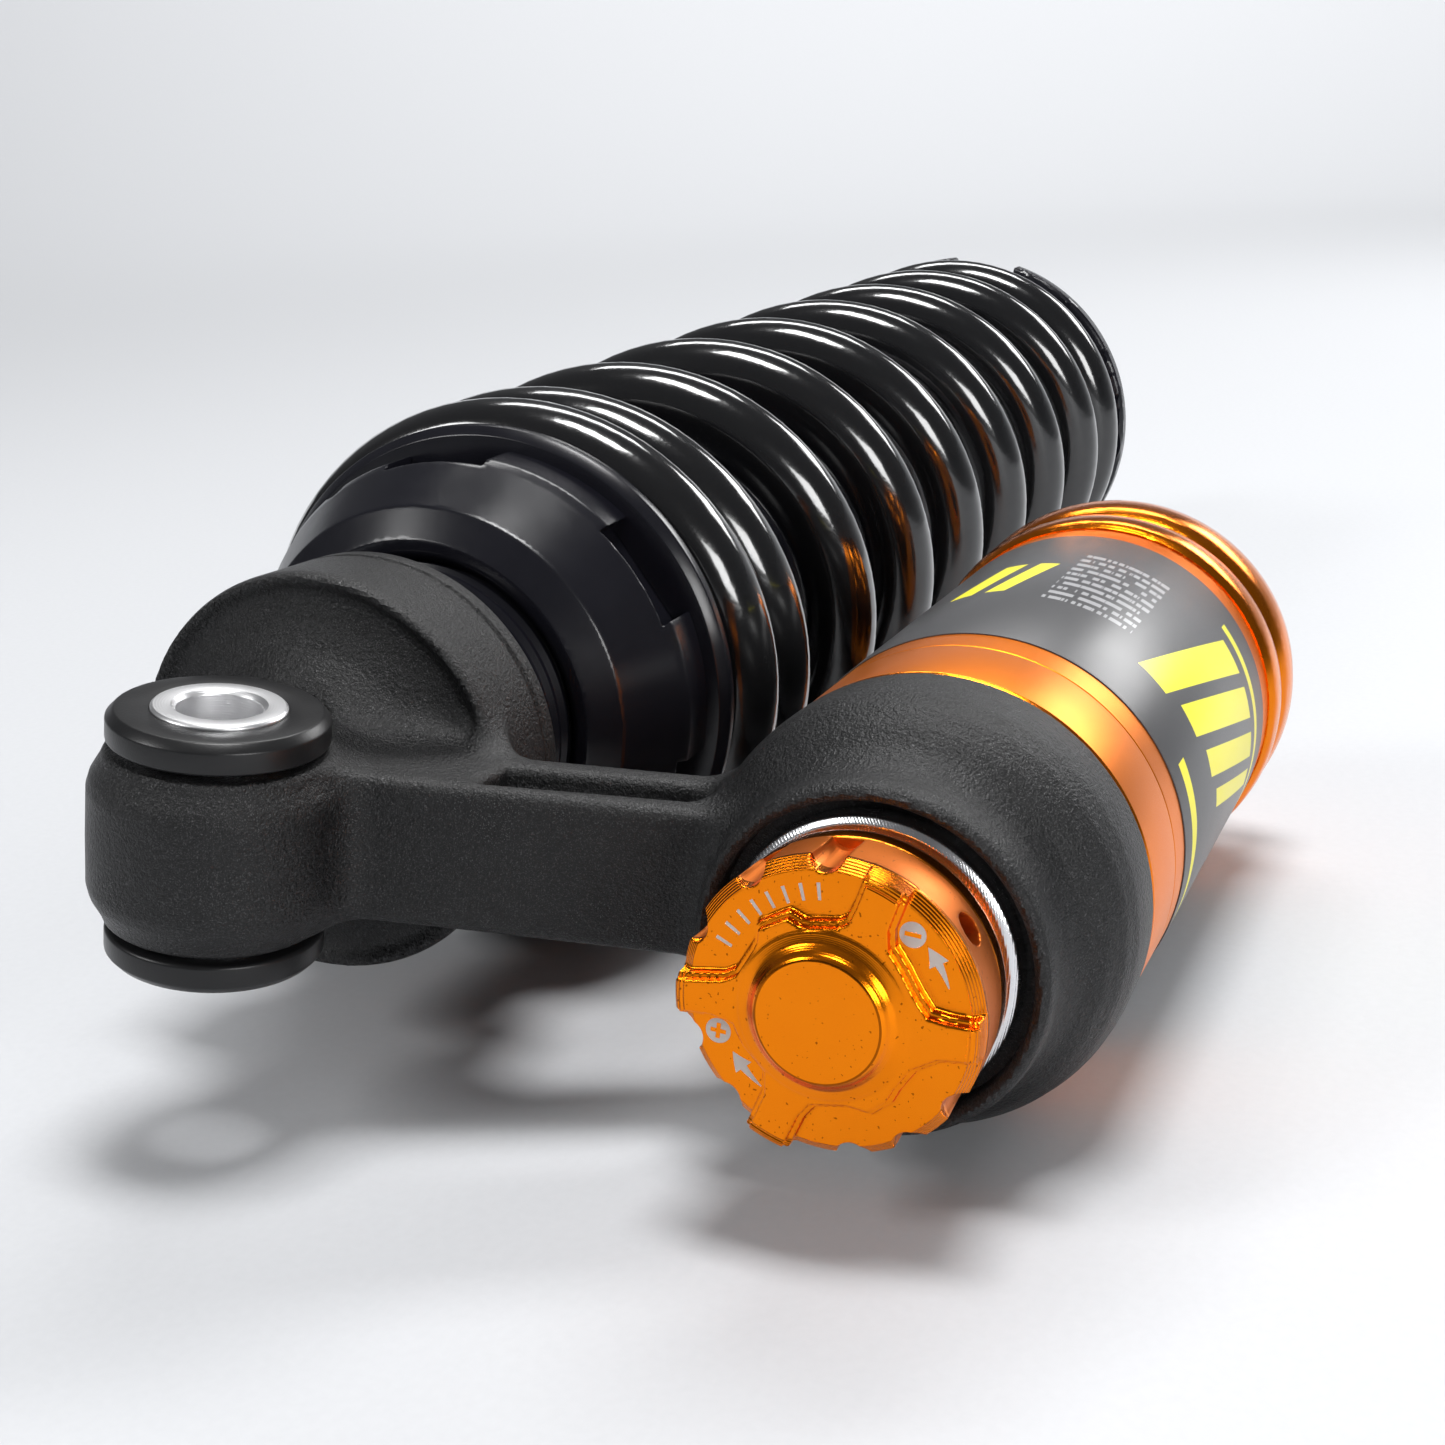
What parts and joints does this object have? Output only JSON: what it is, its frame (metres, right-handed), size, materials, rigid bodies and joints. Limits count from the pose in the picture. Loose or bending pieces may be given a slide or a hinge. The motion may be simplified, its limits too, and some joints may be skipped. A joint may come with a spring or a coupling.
{
  "type": "rear shock",
  "caption": "Coil-over bicycle rear shock with a side reservoir, dial adjusters, castellated preload nut and bolt-through eyes at both ends.",
  "frame": {"origin": "centre of the upper eye's bolt bore, on the damper's axis", "axes": "+X along the damper from the upper eye to the lower eye, +Z along the upper eye's bore, reservoir on the -Y side"},
  "size_m": [0.314, 0.1174, 0.0642],
  "materials": {
    "cast": "fine textured black",
    "steel": "plain turned",
    "bush": "plain bearing",
    "cover": "satin",
    "rubber": "matt",
    "black_aluminium": "satin black anodised",
    "spring_black": "gloss black",
    "orange": "orange anodised",
    "label": "satin film with yellow stripes",
    "aluminium": "turned",
    "brass": "turned",
    "foam": "microcellular",
    "band": "filled plastic",
    "red": "red anodised",
    "shaft_steel": "hard chromed"
  },
  "bodies": {
    "damper_body": {"head_casting": "cast", "upper_bush": "bush", "damper_tube": "black_aluminium", "tube_oring": "rubber", "seal_head": "aluminium", "seal_head_oring": "rubber", "shaft_bush": "bush", "shaft_seal": "rubber", "shaft_wiper": "rubber", "spring": "spring_black", "reservoir_tube": "orange", "reservoir_oring": "rubber", "reservoir_label": "label", "reservoir_cap": "orange", "cap_oring": "rubber", "fill_valve": "brass", "valve_core": "brass", "valve_cap": "cover", "adjuster_body": "orange", "adjuster_bezel": "steel", "adjuster_oring": "rubber", "detent_balls": "steel", "base_valve_piston": "aluminium", "base_valve_shims": "steel", "base_valve_nut": "steel"},
    "upper_hardware": {"upper_sleeve": "steel", "upper_cover_top": "cover", "upper_cover_bottom": "cover", "upper_cover_orings": "rubber"},
    "seat": {"spring_seat": "black_aluminium"},
    "nut": {"preload_nut": "black_aluminium", "preload_nut_screw": "steel"},
    "shaft_assembly": {"shaft": "shaft_steel", "piston": "aluminium", "piston_band": "band", "compression_shims": "steel", "rebound_shims": "steel", "piston_nut": "steel", "topout_bumper": "rubber", "bump_stop": "foam", "bump_cup": "cover", "lower_retainer": "black_aluminium", "lower_eye": "black_aluminium", "eye_lock_screw": "steel", "lower_bush": "bush"},
    "lower_hardware": {"lower_sleeve": "steel", "lower_cover_top": "cover", "lower_cover_bottom": "cover", "lower_cover_orings": "rubber"},
    "rebound_dial": {"rebound_knob": "red"},
    "rebound_needle": {"rebound_rod": "aluminium"},
    "compression_dial": {"comp_knob": "orange", "knob_screw": "steel"},
    "compression_needle": {"comp_needle": "steel"},
    "divider": {"floating_piston": "aluminium", "floating_piston_oring": "rubber", "floating_piston_band": "band"}
  },
  "joints": [
    {"name": "stroke", "type": "slide", "parent": "damper_body", "child": "shaft_assembly", "axis": [-1, 0, 0], "range_m": [0, 0.075], "stiffness_N_per_m": 75000, "springref_m": -0.002, "deforming": ["spring"]},
    {"name": "upper_pivot", "type": "hinge", "parent": "damper_body", "child": "upper_hardware", "pos_m": [0, 0, 0], "axis": [0, 0, 1], "continuous": true},
    {"name": "lower_pivot", "type": "hinge", "parent": "shaft_assembly", "child": "lower_hardware", "pos_m": [0.29, 0, 0], "axis": [0, 0, 1], "continuous": true},
    {"name": "seat_slide", "type": "slide", "parent": "damper_body", "child": "seat", "axis": [-1, 0, 0], "range_m": [0, 0.008]},
    {"name": "nut_turn", "type": "hinge", "parent": "seat", "child": "nut", "pos_m": [0.05, 0, 0], "axis": [1, 0, 0], "range_deg": [0, 1440]},
    {"name": "compression_turn", "type": "hinge", "parent": "damper_body", "child": "compression_dial", "pos_m": [0, -0.063, 0], "axis": [1, 0, 0], "range_deg": [0, 330]},
    {"name": "compression_needle_slide", "type": "slide", "parent": "damper_body", "child": "compression_needle", "axis": [1, 0, 0], "range_m": [0, 0.000916]},
    {"name": "rebound_turn", "type": "hinge", "parent": "shaft_assembly", "child": "rebound_dial", "pos_m": [0.272, 0, 0], "axis": [1, 0, 0], "range_deg": [0, 330]},
    {"name": "rebound_rod_slide", "type": "slide", "parent": "shaft_assembly", "child": "rebound_needle", "axis": [-1, 0, 0], "range_m": [0, 0.000916]},
    {"name": "divider_slide", "type": "slide", "parent": "damper_body", "child": "divider", "axis": [1, 0, 0], "range_m": [0, 0.009]}
  ],
  "couplings": [
    {"joint": "divider_slide", "follows": "stroke", "ratio": 0.11111},
    {"joint": "nut_turn", "follows": "seat_slide", "rad_per_m": 3141.6},
    {"joint": "compression_turn", "follows": "compression_needle_slide", "rad_per_m": 6283.2},
    {"joint": "rebound_turn", "follows": "rebound_rod_slide", "rad_per_m": 6283.2}
  ]
}
